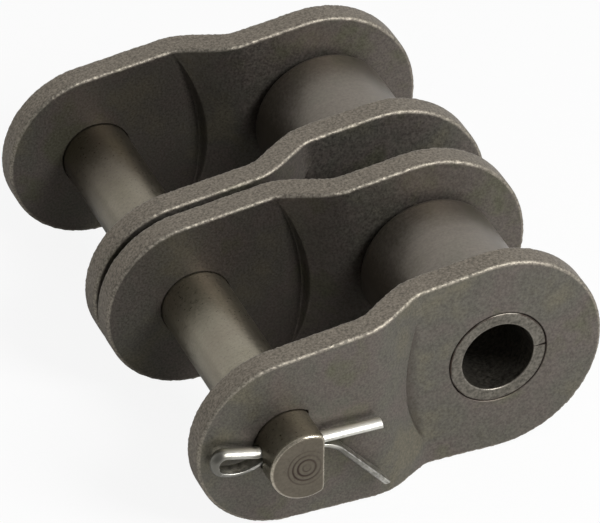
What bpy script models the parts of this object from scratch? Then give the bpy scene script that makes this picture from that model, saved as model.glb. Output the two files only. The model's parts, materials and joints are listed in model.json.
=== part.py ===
"""Double-strand offset link of a roller chain, at its real size.

Four cranked side plates stand in two strands. Each strand is narrow at the bush end and
wide at the pin end, so that the narrow end of the next link fits between its wide ends.
A curled bush is pressed into the narrow ends of each strand and carries a free roller.
One long pin passes through all four wide ends. Its front end has a flat, which the outer
plate's D-shaped hole holds still, and a cross hole for a split pin.

Frame: +X runs along the chain from the pin to the bushes, +Y runs along the pin from its
flatted front end to its head, +Z is up. The link lies as it rests, on the straight lower
edges of its plates, so the line from pin to bush rises a little towards the bush.
The origin is under the middle of the link, on the surface that it stands on.
"""

import math

import bmesh
import bpy
from mathutils import Matrix, Vector

MM = 0.001

# Chain
PITCH = 19.05 * MM
INNER_WIDTH = 12.70 * MM

# Side plates
PLATE_THICKNESS = 2.30 * MM
NARROW_END_RADIUS = 9.04 * MM
WIDE_END_RADIUS = 7.75 * MM
CRANK_BEFORE_MIDDLE = 1.875 * MM
CRANK_ANGLE = math.radians(30)
OUTSIDE_BEND_RADIUS = 5.0 * MM
INSIDE_BEND_RADIUS = 2.0 * MM
EDGE_ROUNDING = 0.26 * MM
HOLE_CHAMFER = 0.10 * MM
SEAT_CHAMFER = 0.12 * MM

# Pressed reliefs, which let the round ends of the next links swing
PIN_RELIEF_RADIUS = 19.0 * MM
BUSH_RELIEF_RADIUS = 12.5 * MM
RELIEF_WALL_ANGLE = math.radians(74)
RELIEF_FLOOR = 0.02 * MM

# Bushes and rollers
BUSH_WALL = 1.10 * MM
BUSH_SEAM = 0.12 * MM
BUSH_EDGE = 0.16 * MM
ROLLER_WALL = 1.675 * MM
ROLLER_END_ROUNDING = 1.0 * MM
ROLLER_BORE_CHAMFER = 0.30 * MM

# Link pin
PIN_DIAMETER = 6.00 * MM
PIN_FLAT_DISTANCE = 1.56 * MM
PIN_FLAT_RUN_IN = 0.40 * MM
PIN_END_LENGTH = 3.65 * MM
PIN_CHAMFER = 0.22 * MM
PIN_CENTRE_RADIUS = 0.35 * MM
PIN_CENTRE_DEPTH = 0.15 * MM
PIN_HEAD_DIAMETER = 8.20 * MM
PIN_HEAD_THICKNESS = 1.35 * MM
PIN_HEAD_ROUNDING = 0.40 * MM

# Split pin
SPLIT_PIN_WIRE = 1.28 * MM
SPLIT_PIN_LEG_THICKNESS = 0.56 * MM
SPLIT_PIN_RISE = 0.30 * MM
SPLIT_PIN_EYE_REACH = 7.05 * MM
SPLIT_PIN_EYE_HEIGHT = 2.89 * MM
SPLIT_PIN_STRAIGHT_LEG = 7.40 * MM
SPLIT_PIN_BENT_LEG = 10.4 * MM
SPLIT_PIN_BEND_RADIUS = 3.2 * MM
SPLIT_PIN_BEND_ANGLE = math.radians(48)

# Clearances, on the radius where the piece is round
CRANK_CLEARANCE = 0.10 * MM
STRAND_GAP = 0.68 * MM
NARROW_END_SWING_ROOM = 0.20 * MM
WIDE_END_SWING_ROOM = 0.38 * MM
PRESS_SEAM = 0.04 * MM
PLATE_PIN_CLEARANCE = 0.06 * MM
BUSH_PIN_CLEARANCE = 0.10 * MM
ROLLER_CLEARANCE = 0.08 * MM
ROLLER_SIDE_CLEARANCE = 0.12 * MM
SPLIT_PIN_STAND_OFF = 0.30 * MM
SPLIT_PIN_HOLE_CLEARANCE = 0.31 * MM
LEG_GAP = 0.04 * MM
HEAD_SEAT = 0.05 * MM

# Fineness of the round stretches
ARC_STEPS = 26
ROUND_STEPS = 44
RELIEF_STEPS = 60
BEND_STEPS = 4
WIRE_STEPS = 6
SHARP_ANGLE = math.radians(50)

# Places that follow from the sizes above
NARROW_INNER = INNER_WIDTH / 2
NARROW_OUTER = NARROW_INNER + PLATE_THICKNESS
WIDE_INNER = NARROW_OUTER + CRANK_CLEARANCE
WIDE_OUTER = WIDE_INNER + PLATE_THICKNESS
STRAND_PITCH = 2 * WIDE_OUTER + STRAND_GAP
CRANK_START = PITCH / 2 - CRANK_BEFORE_MIDDLE
PIN_RELIEF_REACH = NARROW_END_RADIUS + NARROW_END_SWING_ROOM
BUSH_RELIEF_REACH = WIDE_END_RADIUS + WIDE_END_SWING_ROOM
BUSH_BORE = PIN_DIAMETER + 2 * BUSH_PIN_CLEARANCE
BUSH_DIAMETER = BUSH_BORE + 2 * BUSH_WALL
ROLLER_BORE = BUSH_DIAMETER + 2 * ROLLER_CLEARANCE
ROLLER_DIAMETER = ROLLER_BORE + 2 * ROLLER_WALL
SPLIT_PIN_HOLE = SPLIT_PIN_WIRE + 2 * SPLIT_PIN_HOLE_CLEARANCE
TAPER = math.asin((NARROW_END_RADIUS - WIDE_END_RADIUS) / PITCH)
PIN_FRONT = -(STRAND_PITCH / 2 + WIDE_OUTER + PIN_END_LENGTH)
PIN_REAR = STRAND_PITCH / 2 + WIDE_OUTER + HEAD_SEAT + PIN_HEAD_THICKNESS
REST_LENGTH = WIDE_END_RADIUS + PITCH * math.cos(TAPER) + NARROW_END_RADIUS
PIN_AXIS = Vector((WIDE_END_RADIUS - REST_LENGTH / 2, -(PIN_FRONT + PIN_REAR) / 2, WIDE_END_RADIUS))
SPLIT_PIN_Y = -(STRAND_PITCH / 2 + WIDE_OUTER + SPLIT_PIN_STAND_OFF + SPLIT_PIN_WIRE / 2)


def clear_scene():
    for existing in list(bpy.data.objects):
        bpy.data.objects.remove(existing, do_unlink=True)


def steel(name, colour, roughness, metallic):
    material = bpy.data.materials.new(name)
    material.use_nodes = True
    shader = material.node_tree.nodes["Principled BSDF"]
    shader.inputs["Base Color"].default_value = (*colour, 1.0)
    shader.inputs["Roughness"].default_value = roughness
    shader.inputs["Metallic"].default_value = metallic
    material.diffuse_color = (*colour, 1.0)
    return material


def add_frame(name, location, parent=None, tilt=0.0):
    """An empty that carries pieces. A positive tilt raises its +X side."""
    frame = bpy.data.objects.new(name, None)
    bpy.context.scene.collection.objects.link(frame)
    frame.location = location
    frame.rotation_euler = (0.0, -tilt, 0.0)
    frame.parent = parent
    return frame


def add_piece(name, bm, parent, location=(0.0, 0.0, 0.0)):
    bmesh.ops.recalc_face_normals(bm, faces=bm.faces)
    mesh = bpy.data.meshes.new(name)
    bm.to_mesh(mesh)
    bm.free()
    mesh.shade_smooth()
    piece = bpy.data.objects.new(name, mesh)
    bpy.context.scene.collection.objects.link(piece)
    piece.parent = parent
    piece.location = location
    return piece


def add_cutter(name, bm, parent, location=(0.0, 0.0, 0.0)):
    cutter = add_piece(name, bm, parent, location)
    cutter.hide_render = True
    cutter.display_type = "WIRE"
    return cutter


def add_boolean(piece, operation, cutter):
    modifier = piece.modifiers.new(operation.lower() + "_" + cutter.name, "BOOLEAN")
    modifier.operation = operation
    modifier.solver = "EXACT"
    modifier.object = cutter
    return modifier


def smooth_by_angle():
    """A node group that shades a piece smooth after its cuts, except at edges over an angle."""
    name = "smooth_by_angle"
    if name in bpy.data.node_groups:
        return bpy.data.node_groups[name]
    group = bpy.data.node_groups.new(name, "GeometryNodeTree")
    group.interface.new_socket("Piece", in_out="INPUT", socket_type="NodeSocketGeometry")
    limit = group.interface.new_socket("Angle", in_out="INPUT", socket_type="NodeSocketFloat")
    limit.default_value = SHARP_ANGLE
    group.interface.new_socket("Piece", in_out="OUTPUT", socket_type="NodeSocketGeometry")
    given = group.nodes.new("NodeGroupInput")
    shaded = group.nodes.new("NodeGroupOutput")
    edge_angle = group.nodes.new("GeometryNodeInputMeshEdgeAngle")
    over_limit = group.nodes.new("FunctionNodeCompare")
    over_limit.operation = "GREATER_THAN"
    keep_sharp = group.nodes.new("GeometryNodeSetShadeSmooth")
    keep_sharp.domain = "EDGE"
    keep_sharp.inputs["Shade Smooth"].default_value = False
    group.links.new(edge_angle.outputs["Unsigned Angle"], over_limit.inputs[0])
    group.links.new(given.outputs["Angle"], over_limit.inputs[1])
    group.links.new(given.outputs["Piece"], keep_sharp.inputs["Geometry"])
    group.links.new(over_limit.outputs["Result"], keep_sharp.inputs["Selection"])
    group.links.new(keep_sharp.outputs["Geometry"], shaded.inputs["Piece"])
    return group


def finish(piece, material):
    """Round stretches stay shaded smooth, and broad flat faces keep their own normals."""
    piece.data.materials.append(material)
    edges = piece.modifiers.new("sharp_edges", "NODES")
    edges.node_group = smooth_by_angle()
    faces = piece.modifiers.new("flat_faces", "WEIGHTED_NORMAL")
    faces.weight = 100
    faces.keep_sharp = True
    return piece


def arc(centre, radius, start, end, steps):
    """Points on a circle in a plane, from one angle to another."""
    angles = [start + (end - start) * step / steps for step in range(steps + 1)]
    return [(centre[0] + radius * math.cos(a), centre[1] + radius * math.sin(a)) for a in angles]


def rounded_path(corners, radii, steps):
    """A polyline whose inner corners are replaced by arcs of the given radii."""
    points = [corners[0]]
    for before, corner, after, radius in zip(corners, corners[1:], corners[2:], radii):
        here = Vector(corner)
        back = (Vector(before) - here).normalized()
        ahead = (Vector(after) - here).normalized()
        half = back.angle(ahead) / 2
        centre = here + (back + ahead).normalized() * radius / math.sin(half)
        first = here + back * radius / math.tan(half) - centre
        last = here + ahead * radius / math.tan(half) - centre
        turn = first.angle_signed(last)
        for step in range(steps + 1):
            angle = -turn * step / steps
            points.append(tuple(centre + Matrix.Rotation(angle, 2) @ first))
    points.append(corners[-1])
    return points


def extrude_outline(outline, to_point, low, high):
    """A prism: a closed outline in a plane, drawn out from low to high along the third axis."""
    bm = bmesh.new()
    corners = [bm.verts.new(to_point(a, b, low)) for a, b in outline]
    face = bm.faces.new(corners)
    drawn = bmesh.ops.extrude_face_region(bm, geom=[face])
    top = [item for item in drawn["geom"] if isinstance(item, bmesh.types.BMVert)]
    shift = Vector(to_point(0.0, 0.0, high)) - Vector(to_point(0.0, 0.0, low))
    bmesh.ops.translate(bm, verts=top, vec=shift)
    return bm


def turned(profile, steps=ROUND_STEPS, gap=0.0):
    """A turned piece about Y from (radius, y) points. A gap leaves it open like a curled strip."""
    closed = gap == 0.0
    sweep = 2 * math.pi - gap
    count = steps if closed else steps + 1
    bm = bmesh.new()
    rings = []
    for step in range(count):
        angle = gap / 2 + sweep * step / steps
        rings.append([
            bm.verts.new((radius * math.cos(angle), y, radius * math.sin(angle)))
            for radius, y in profile
        ])
    pairs = list(zip(rings, rings[1:]))
    if closed:
        pairs.append((rings[-1], rings[0]))
    for ring, following in pairs:
        for i in range(len(profile)):
            j = (i + 1) % len(profile)
            bm.faces.new((ring[i], ring[j], following[j], following[i]))
    if not closed:
        bm.faces.new(rings[0])
        bm.faces.new(rings[-1])
    bmesh.ops.remove_doubles(bm, verts=bm.verts, dist=1e-7)
    return bm


def blank_outline():
    """The plate's outline in X and Z: the wide end's arc, the narrow end's arc, and tangents."""
    quarter = math.pi / 2
    narrow = arc((PITCH, 0.0), NARROW_END_RADIUS, -quarter - TAPER, quarter + TAPER, ARC_STEPS)
    wide = arc((0.0, 0.0), WIDE_END_RADIUS, quarter + TAPER, 3 * quarter - TAPER, ARC_STEPS)
    return narrow + wide


def crank_section():
    """The pressed strip's section in X and Y: straight, down the crank, straight again."""
    drop = WIDE_INNER - NARROW_INNER
    run = drop / math.tan(CRANK_ANGLE)
    shift = PLATE_THICKNESS * math.tan(CRANK_ANGLE / 2)
    past = NARROW_END_RADIUS * 2
    inner = [
        (-past, WIDE_INNER),
        (CRANK_START, WIDE_INNER),
        (CRANK_START + run, NARROW_INNER),
        (PITCH + past, NARROW_INNER),
    ]
    outer = [
        (-past, WIDE_OUTER),
        (CRANK_START + shift, WIDE_OUTER),
        (CRANK_START + shift + run, NARROW_OUTER),
        (PITCH + past, NARROW_OUTER),
    ]
    inner = rounded_path(inner, (INSIDE_BEND_RADIUS, OUTSIDE_BEND_RADIUS), BEND_STEPS)
    outer = rounded_path(outer, (OUTSIDE_BEND_RADIUS, INSIDE_BEND_RADIUS), BEND_STEPS)
    return inner + outer[::-1]


def relief_cutter(arc_centre, arc_radius, floor, towards):
    """A wide cone that presses a flat, round-ended relief into the crank, from its floor on."""
    depth = WIDE_OUTER
    flare = depth / math.tan(RELIEF_WALL_ANGLE)
    bm = bmesh.new()
    bmesh.ops.create_cone(
        bm, cap_ends=True, segments=RELIEF_STEPS,
        radius1=arc_radius, radius2=arc_radius + flare, depth=depth,
    )
    turn = Matrix.Rotation(-math.pi / 2 * towards, 4, "X")
    middle = floor + towards * depth / 2
    bmesh.ops.transform(bm, matrix=Matrix.Translation((arc_centre, middle, 0.0)) @ turn, verts=bm.verts)
    return bm


def hole_cutter(radius, low, high, chamfer):
    """A turned cutter for a hole whose mouths at low and high are broken by a small chamfer."""
    past = PLATE_THICKNESS / 2
    profile = [
        (0.0, low - past),
        (radius + chamfer + past, low - past),
        (radius, low + chamfer),
        (radius, high - chamfer),
        (radius + chamfer + past, high + past),
        (0.0, high + past),
    ]
    return turned(profile)


def flat_hole_outline(radius, flat_distance, turn):
    """The D outline in X and Z of a round hole or pin with one flat, turned about the axis."""
    half = math.acos(flat_distance / radius)
    return arc((0.0, 0.0), radius, half + turn, 2 * math.pi - half + turn, ROUND_STEPS)


def mirror_y(bm, side):
    """The section's +Y is outwards from the strand's middle: side -1 turns it to -Y."""
    if side < 0:
        bmesh.ops.scale(bm, vec=(1.0, -1.0, 1.0), verts=bm.verts)
    return bm


def make_plate(name, strand, side, flatted):
    """One cranked plate, blanked, pressed, edge-rounded and pierced. Side is its way outwards."""
    def in_section(x, y, z):
        return (x, y, z)

    def in_outline(x, z, y):
        return (x, y, z)

    over = NARROW_END_RADIUS * 1.5
    strip = mirror_y(extrude_outline(crank_section(), in_section, -over, over), side)
    plate = add_piece(name, strip, strand)

    blank = extrude_outline(blank_outline(), in_outline, -WIDE_OUTER * 2, WIDE_OUTER * 2)
    add_boolean(plate, "INTERSECT", add_cutter(name + "_blank_die", blank, strand))

    edge = plate.modifiers.new("rounded_edges", "BEVEL")
    edge.width = EDGE_ROUNDING
    edge.segments = 2
    edge.limit_method = "ANGLE"
    edge.angle_limit = math.radians(50)

    pin_arc = PIN_RELIEF_REACH - PIN_RELIEF_RADIUS
    pin_side = relief_cutter(pin_arc, PIN_RELIEF_RADIUS, WIDE_INNER - RELIEF_FLOOR, -1)
    add_boolean(plate, "DIFFERENCE", add_cutter(name + "_pin_relief_die", mirror_y(pin_side, side), strand))
    bush_arc = PITCH - BUSH_RELIEF_REACH + BUSH_RELIEF_RADIUS
    bush_side = relief_cutter(bush_arc, BUSH_RELIEF_RADIUS, NARROW_OUTER + RELIEF_FLOOR, 1)
    add_boolean(plate, "DIFFERENCE", add_cutter(name + "_bush_relief_die", mirror_y(bush_side, side), strand))

    bush_hole = BUSH_DIAMETER / 2 + PRESS_SEAM
    pierce = mirror_y(hole_cutter(bush_hole, NARROW_INNER, NARROW_OUTER, SEAT_CHAMFER), side)
    add_boolean(plate, "DIFFERENCE", add_cutter(name + "_bush_punch", pierce, strand, (PITCH, 0.0, 0.0)))
    pin_hole = PIN_DIAMETER / 2 + PLATE_PIN_CLEARANCE
    if flatted:
        outline = flat_hole_outline(pin_hole, PIN_FLAT_DISTANCE + PLATE_PIN_CLEARANCE, -TAPER)
        pierce = extrude_outline(outline, in_outline, WIDE_INNER / 2, WIDE_OUTER * 2)
    else:
        pierce = hole_cutter(pin_hole, WIDE_INNER, WIDE_OUTER, HOLE_CHAMFER)
    add_boolean(plate, "DIFFERENCE", add_cutter(name + "_pin_punch", mirror_y(pierce, side), strand))
    return finish(plate, steel(name + "_steel", (0.21, 0.19, 0.165), 0.55, 0.85))


def make_bush(name, bush_axis):
    """A bush curled from strip: its seam stays open by a hair along the whole length."""
    outside = BUSH_DIAMETER / 2
    inside = BUSH_BORE / 2
    profile = [
        (inside, -NARROW_OUTER + BUSH_EDGE),
        (inside + BUSH_EDGE, -NARROW_OUTER),
        (outside - BUSH_EDGE, -NARROW_OUTER),
        (outside, -NARROW_OUTER + BUSH_EDGE),
        (outside, NARROW_OUTER - BUSH_EDGE),
        (outside - BUSH_EDGE, NARROW_OUTER),
        (inside + BUSH_EDGE, NARROW_OUTER),
        (inside, NARROW_OUTER - BUSH_EDGE),
    ]
    bush = add_piece(name, turned(profile, gap=BUSH_SEAM / outside), bush_axis)
    return finish(bush, steel(name + "_steel", (0.33, 0.31, 0.29), 0.45, 0.9))


def make_roller(name, bush_axis):
    """A roller with rounded ends, a sliding fit on its bush and between the plates."""
    outside = ROLLER_DIAMETER / 2
    inside = ROLLER_BORE / 2
    half = NARROW_INNER - ROLLER_SIDE_CLEARANCE
    shoulder = outside - ROLLER_END_ROUNDING
    low_end = arc((shoulder, ROLLER_END_ROUNDING - half), ROLLER_END_ROUNDING, -math.pi / 2, 0.0, BEND_STEPS)
    high_end = arc((shoulder, half - ROLLER_END_ROUNDING), ROLLER_END_ROUNDING, 0.0, math.pi / 2, BEND_STEPS)
    profile = [(inside, ROLLER_BORE_CHAMFER - half), (inside + ROLLER_BORE_CHAMFER, -half)]
    profile += low_end + high_end
    profile += [(inside + ROLLER_BORE_CHAMFER, half), (inside, half - ROLLER_BORE_CHAMFER)]
    roller = add_piece(name, turned(profile), bush_axis)
    return finish(roller, steel(name + "_steel", (0.42, 0.40, 0.37), 0.38, 0.9))


def make_link_pin(pin_axis):
    """The pin: chamfered and centred front end, plain shank, low head behind the last plate."""
    radius = PIN_DIAMETER / 2
    head = PIN_HEAD_DIAMETER / 2
    shoulder = PIN_REAR - PIN_HEAD_THICKNESS
    profile = [
        (0.0, PIN_FRONT + PIN_CENTRE_DEPTH),
        (PIN_CENTRE_RADIUS, PIN_FRONT),
        (radius - PIN_CHAMFER, PIN_FRONT),
        (radius, PIN_FRONT + PIN_CHAMFER),
        (radius, shoulder),
        (head, shoulder),
        (head, PIN_REAR - PIN_HEAD_ROUNDING),
        (head - PIN_HEAD_ROUNDING, PIN_REAR),
        (0.0, PIN_REAR),
    ]
    pin = add_piece("link_pin", turned(profile), pin_axis)

    flat_length = PIN_END_LENGTH + PLATE_THICKNESS + PIN_FLAT_RUN_IN
    box = bmesh.new()
    bmesh.ops.create_cube(box, size=1.0)
    bmesh.ops.scale(box, vec=(radius * 2, flat_length * 2, radius * 4), verts=box.verts)
    flat_place = (PIN_FLAT_DISTANCE + radius, PIN_FRONT, 0.0)
    add_boolean(pin, "DIFFERENCE", add_cutter("link_pin_flat_mill", box, pin_axis, flat_place))

    drill = bmesh.new()
    bmesh.ops.create_cone(
        drill, cap_ends=True, segments=ROUND_STEPS // 2,
        radius1=SPLIT_PIN_HOLE / 2, radius2=SPLIT_PIN_HOLE / 2, depth=PIN_DIAMETER * 2,
    )
    bmesh.ops.rotate(drill, matrix=Matrix.Rotation(math.pi / 2, 3, "Y"), verts=drill.verts)
    add_boolean(pin, "DIFFERENCE", add_cutter("link_pin_cross_drill", drill, pin_axis, (0.0, SPLIT_PIN_Y, 0.0)))
    return finish(pin, steel("link_pin_steel", (0.40, 0.38, 0.35), 0.35, 0.9))


def split_pin_path():
    """The wire's flat side in X and Z: straight leg, through the pin, round the eye, bent leg."""
    high = SPLIT_PIN_RISE + LEG_GAP / 2
    low = SPLIT_PIN_RISE - LEG_GAP / 2
    mouth = -PIN_DIAMETER / 2 - SPLIT_PIN_STAND_OFF / 2
    far = SPLIT_PIN_LEG_THICKNESS - SPLIT_PIN_EYE_REACH
    corners_height = (SPLIT_PIN_EYE_HEIGHT - 2 * SPLIT_PIN_LEG_THICKNESS) * 1.17
    corners = [
        (SPLIT_PIN_STRAIGHT_LEG, high),
        (mouth, high),
        (far, high + 0.39 * corners_height),
        (far, high - 0.21 * corners_height),
        ((mouth + far) / 2, high - 0.62 * corners_height),
        (mouth, high - 0.20 * corners_height),
        (PIN_FLAT_DISTANCE + SPLIT_PIN_WIRE / 10, low),
    ]
    radii = [share * corners_height for share in (0.40, 0.27, 0.36, 0.48, 0.50)]
    path = rounded_path(corners, radii, BEND_STEPS + 2)
    start = corners[-1]
    radius = SPLIT_PIN_BEND_RADIUS
    upright = math.pi / 2
    bend = arc((start[0], low - radius), radius, upright, upright - SPLIT_PIN_BEND_ANGLE, BEND_STEPS * 2)
    path += bend[1:]
    straight = SPLIT_PIN_BENT_LEG - start[0] - radius * SPLIT_PIN_BEND_ANGLE
    end = bend[-1]
    slope = SPLIT_PIN_BEND_ANGLE
    path.append((end[0] + straight * math.cos(slope), end[1] - straight * math.sin(slope)))
    return [Vector(point) for point in path]


def make_split_pin(pin_axis):
    """Half-round wire, its flat side inwards, swept along the path in the plane of its hole."""
    path = split_pin_path()
    bm = bmesh.new()
    rings = []
    for i, point in enumerate(path):
        before = path[max(i - 1, 0)]
        after = path[min(i + 1, len(path) - 1)]
        into = (point - before).normalized() if i else (after - point).normalized()
        out = (after - point).normalized() if i + 1 < len(path) else into
        along = (into + out).normalized()
        stretch = 1.0 / max(along.dot(into), 0.5)
        outward = Vector((along.y, -along.x)) * stretch
        ring = []
        for step in range(WIRE_STEPS + 1):
            angle = math.pi * step / WIRE_STEPS
            across = SPLIT_PIN_WIRE / 2 * math.cos(angle)
            rise = SPLIT_PIN_LEG_THICKNESS * math.sin(angle)
            place = point + outward * rise
            ring.append(bm.verts.new((place.x, across, place.y)))
        rings.append(ring)
    for ring, following in zip(rings, rings[1:]):
        for i in range(len(ring)):
            j = (i + 1) % len(ring)
            bm.faces.new((ring[i], ring[j], following[j], following[i]))
    bm.faces.new(rings[0])
    bm.faces.new(rings[-1])
    wire = add_piece("split_pin", bm, pin_axis, (0.0, SPLIT_PIN_Y, 0.0))
    return finish(wire, steel("split_pin_steel", (0.72, 0.71, 0.69), 0.28, 0.95))


def main():
    clear_scene()
    link = add_frame("link", PIN_AXIS)
    front = add_frame("front_strand", (0.0, -STRAND_PITCH / 2, 0.0), link, TAPER)
    rear = add_frame("rear_strand", (0.0, STRAND_PITCH / 2, 0.0), link, TAPER)
    make_plate("front_outer_plate", front, -1, True)
    make_plate("front_middle_plate", front, 1, False)
    make_plate("rear_middle_plate", rear, -1, False)
    make_plate("rear_outer_plate", rear, 1, False)
    for strand, prefix in ((front, "front_"), (rear, "rear_")):
        bush_axis = add_frame(prefix + "bush_axis", (PITCH, 0.0, 0.0), strand)
        make_bush(prefix + "bush", bush_axis)
        make_roller(prefix + "roller", bush_axis)
    make_link_pin(link)
    make_split_pin(link)


main()
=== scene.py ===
"""Looks of a double-strand offset chain link: dark pressed steel plates, satin rollers on curled
bushes, one long ground pin and a bright split pin, lying on white paper in soft light.

Every piece keeps the size and the place of its CAD node, with finer rounding and a real finish.
Lengths are in metres. A strand's own axes are X along the chain from its pin, Y along the pin
and Z across the plate. They are the world's axes tilted by the strand's rise towards its bush.
"""

import json
import math

import bmesh
import bpy
import numpy as np
from mathutils import Matrix, Vector, noise
from mathutils.geometry import delaunay_2d_cdt


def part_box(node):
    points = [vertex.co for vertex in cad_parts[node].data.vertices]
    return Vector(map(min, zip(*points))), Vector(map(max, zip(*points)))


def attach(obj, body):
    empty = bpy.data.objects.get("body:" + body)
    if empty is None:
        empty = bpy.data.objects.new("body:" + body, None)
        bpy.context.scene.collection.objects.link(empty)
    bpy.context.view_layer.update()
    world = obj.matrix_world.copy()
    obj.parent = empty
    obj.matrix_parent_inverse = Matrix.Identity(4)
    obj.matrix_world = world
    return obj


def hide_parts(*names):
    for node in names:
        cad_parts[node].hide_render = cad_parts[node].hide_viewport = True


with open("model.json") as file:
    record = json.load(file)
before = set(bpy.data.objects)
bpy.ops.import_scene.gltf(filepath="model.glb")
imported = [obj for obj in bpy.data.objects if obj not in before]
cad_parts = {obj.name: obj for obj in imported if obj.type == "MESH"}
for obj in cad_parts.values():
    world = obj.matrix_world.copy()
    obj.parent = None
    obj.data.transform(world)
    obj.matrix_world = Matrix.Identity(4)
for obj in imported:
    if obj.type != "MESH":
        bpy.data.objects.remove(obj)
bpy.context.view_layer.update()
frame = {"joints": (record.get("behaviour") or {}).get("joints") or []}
MM = 0.001

# Side plates: four blanks sheared from hot-rolled strip, cranked in a press so that each end
# fits outside or inside its neighbour, pierced, hardened dark and tumbled with oil. The press
# also coins a round-ended relief beside each hole, where the next link's plates swing.
joint_places = {joint["name"]: Vector(joint["pos_m"]) for joint in frame["joints"]}
PIN_AXIS = joint_places["rear_strand_swing"]
BUSH_AXES = {"front": joint_places["front_roller_spin"], "rear": joint_places["rear_roller_spin"]}
RISE = BUSH_AXES["front"] - PIN_AXIS
PITCH = math.hypot(RISE.x, RISE.z)
TILT = math.atan2(RISE.z, RISE.x)
WIDE_RADIUS = PIN_AXIS.z
NARROW_RADIUS = BUSH_AXES["front"].z
bush_low, bush_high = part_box("front_bush")
NARROW_OUTER = (bush_high.y - bush_low.y) / 2
WIDE_OUTER = BUSH_AXES["front"].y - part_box("front_outer_plate")[0].y
PLATE_THICKNESS = 2.30 * MM
NARROW_INNER = NARROW_OUTER - PLATE_THICKNESS
WIDE_INNER = WIDE_OUTER - PLATE_THICKNESS

# The crank: where it leaves the wide end, its slope, and its soft outer and tight inner bends.
CRANK_ANGLE = math.radians(30)
CRANK_START = PITCH / 2 - 1.875 * MM
CRANK_SLOPE = math.tan(CRANK_ANGLE)
CRANK_SHIFT = PLATE_THICKNESS * math.tan(CRANK_ANGLE / 2)
CRANK_RUN = (WIDE_INNER - NARROW_INNER) / CRANK_SLOPE
CRANK_END = CRANK_START + CRANK_SHIFT + CRANK_RUN
SOFT_BEND = 0.77 * MM
TIGHT_BEND = 0.31 * MM

# The reliefs: two arcs that give the next link's round ends room to swing, and their low walls.
PIN_RELIEF_ROOM = 0.20 * MM
PIN_RELIEF_RADIUS = 19.0 * MM
PIN_RELIEF_CENTRE = NARROW_RADIUS + PIN_RELIEF_ROOM - PIN_RELIEF_RADIUS
BUSH_RELIEF_ROOM = 0.38 * MM
BUSH_RELIEF_RADIUS = 12.5 * MM
BUSH_RELIEF_CENTRE = PITCH - WIDE_RADIUS - BUSH_RELIEF_ROOM + BUSH_RELIEF_RADIUS
RELIEF_WALL_SLOPE = math.tan(math.radians(74))
RELIEF_FOOT = 0.08 * MM
RELIEF_BROW = 0.07 * MM

# The holes: a press fit on the bush, and a D on the pin in the plate that the split pin guards.
PRESS_FIT_SEAM = 0.04 * MM
BUSH_HOLE_RADIUS = (bush_high.z - bush_low.z) / 2 + PRESS_FIT_SEAM
PIN_HOLE_RADIUS = 3.03 * MM
PIN_HOLE_FLAT = 1.59 * MM
HOLE_CHAMFER = 0.06 * MM
HOLE_POINTS = 120
HOLE_FLAT_STEPS = 16


def strand_matrix(strand):
    """The place of a strand's own axes: on the pin's axis, in the middle of the strand."""
    middle = Vector((PIN_AXIS.x, BUSH_AXES[strand].y, PIN_AXIS.z))
    return Matrix.Translation(middle) @ Matrix.Rotation(-TILT, 4, "Y")


def soft_ramp(value, width):
    """Zero below minus the width, then the value itself, with a round foot between."""
    lifted = np.maximum(value + width, 0.0)
    return np.where(lifted < 2 * width, lifted**2 / (4 * width), lifted - width)


def soft_larger(first, second, width):
    """The larger of two heights, with a fillet where they cross."""
    near = np.maximum(width - np.abs(first - second), 0.0) / width
    return np.maximum(first, second) + near**2 * width / 4


def outer_face(x, z):
    """The plate's outer face in Y: wide end, crank, narrow end, and the relief round the bush."""
    crank = WIDE_OUTER - (x - CRANK_START - CRANK_SHIFT) * CRANK_SLOPE
    pressed = -soft_larger(-crank, np.full_like(x, -WIDE_OUTER), SOFT_BEND)
    pressed = soft_larger(pressed, np.full_like(x, NARROW_OUTER), TIGHT_BEND)
    past_arc = np.hypot(x - BUSH_RELIEF_CENTRE, z) - BUSH_RELIEF_RADIUS
    relief = NARROW_OUTER + soft_ramp(past_arc, RELIEF_FOOT) * RELIEF_WALL_SLOPE
    return pressed - soft_ramp(pressed - relief, RELIEF_BROW)


def inner_face(x, z):
    """The inner face in Y, with the relief round the pin."""
    crank = WIDE_INNER - (x - CRANK_START) * CRANK_SLOPE
    pressed = -soft_larger(-crank, np.full_like(x, -WIDE_INNER), TIGHT_BEND)
    pressed = soft_larger(pressed, np.full_like(x, NARROW_INNER), SOFT_BEND)
    past_arc = np.hypot(x - PIN_RELIEF_CENTRE, z) - PIN_RELIEF_RADIUS
    relief = WIDE_INNER - soft_ramp(past_arc, RELIEF_FOOT) * RELIEF_WALL_SLOPE
    return pressed + soft_ramp(relief - pressed, RELIEF_BROW)


# Painted shade darkens the bush relief's floor under its wall, where oil and scale also sit, and the inner
# face by the pin, where the plates shade each other.
WALL_SHADE_AND_OIL = 0.42
WALL_SHADE_SPREAD = 0.75 * MM
WALL_SHADE_HEIGHT = 0.35 * MM
WALL_SHADE_CLIMB = 0.2 * MM
INSIDE_SHADE = 0.34
INSIDE_SHADE_MIDDLE = 5 * MM
INSIDE_SHADE_SPREAD = 7 * MM


def shade_and_oil_by_wall(x, z):
    """How much painted shade and oil darken the bush relief's floor, from its wall inwards."""
    inside_arc = BUSH_RELIEF_RADIUS - np.hypot(x - BUSH_RELIEF_CENTRE, z)
    wall = (CRANK_END - x) * CRANK_SLOPE
    spread = np.exp(-((np.clip(inside_arc, 0.0, None) / WALL_SHADE_SPREAD) ** 2))
    high_enough = np.clip(wall / WALL_SHADE_HEIGHT, 0.0, 1.0)
    return WALL_SHADE_AND_OIL * spread * high_enough * (inside_arc > -WALL_SHADE_CLIMB)


def painted_inside_shade(x):
    """How much painted shade darkens the inner face between the pin and the crank."""
    return INSIDE_SHADE * np.exp(-(((x - INSIDE_SHADE_MIDDLE) / INSIDE_SHADE_SPREAD) ** 2))


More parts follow.
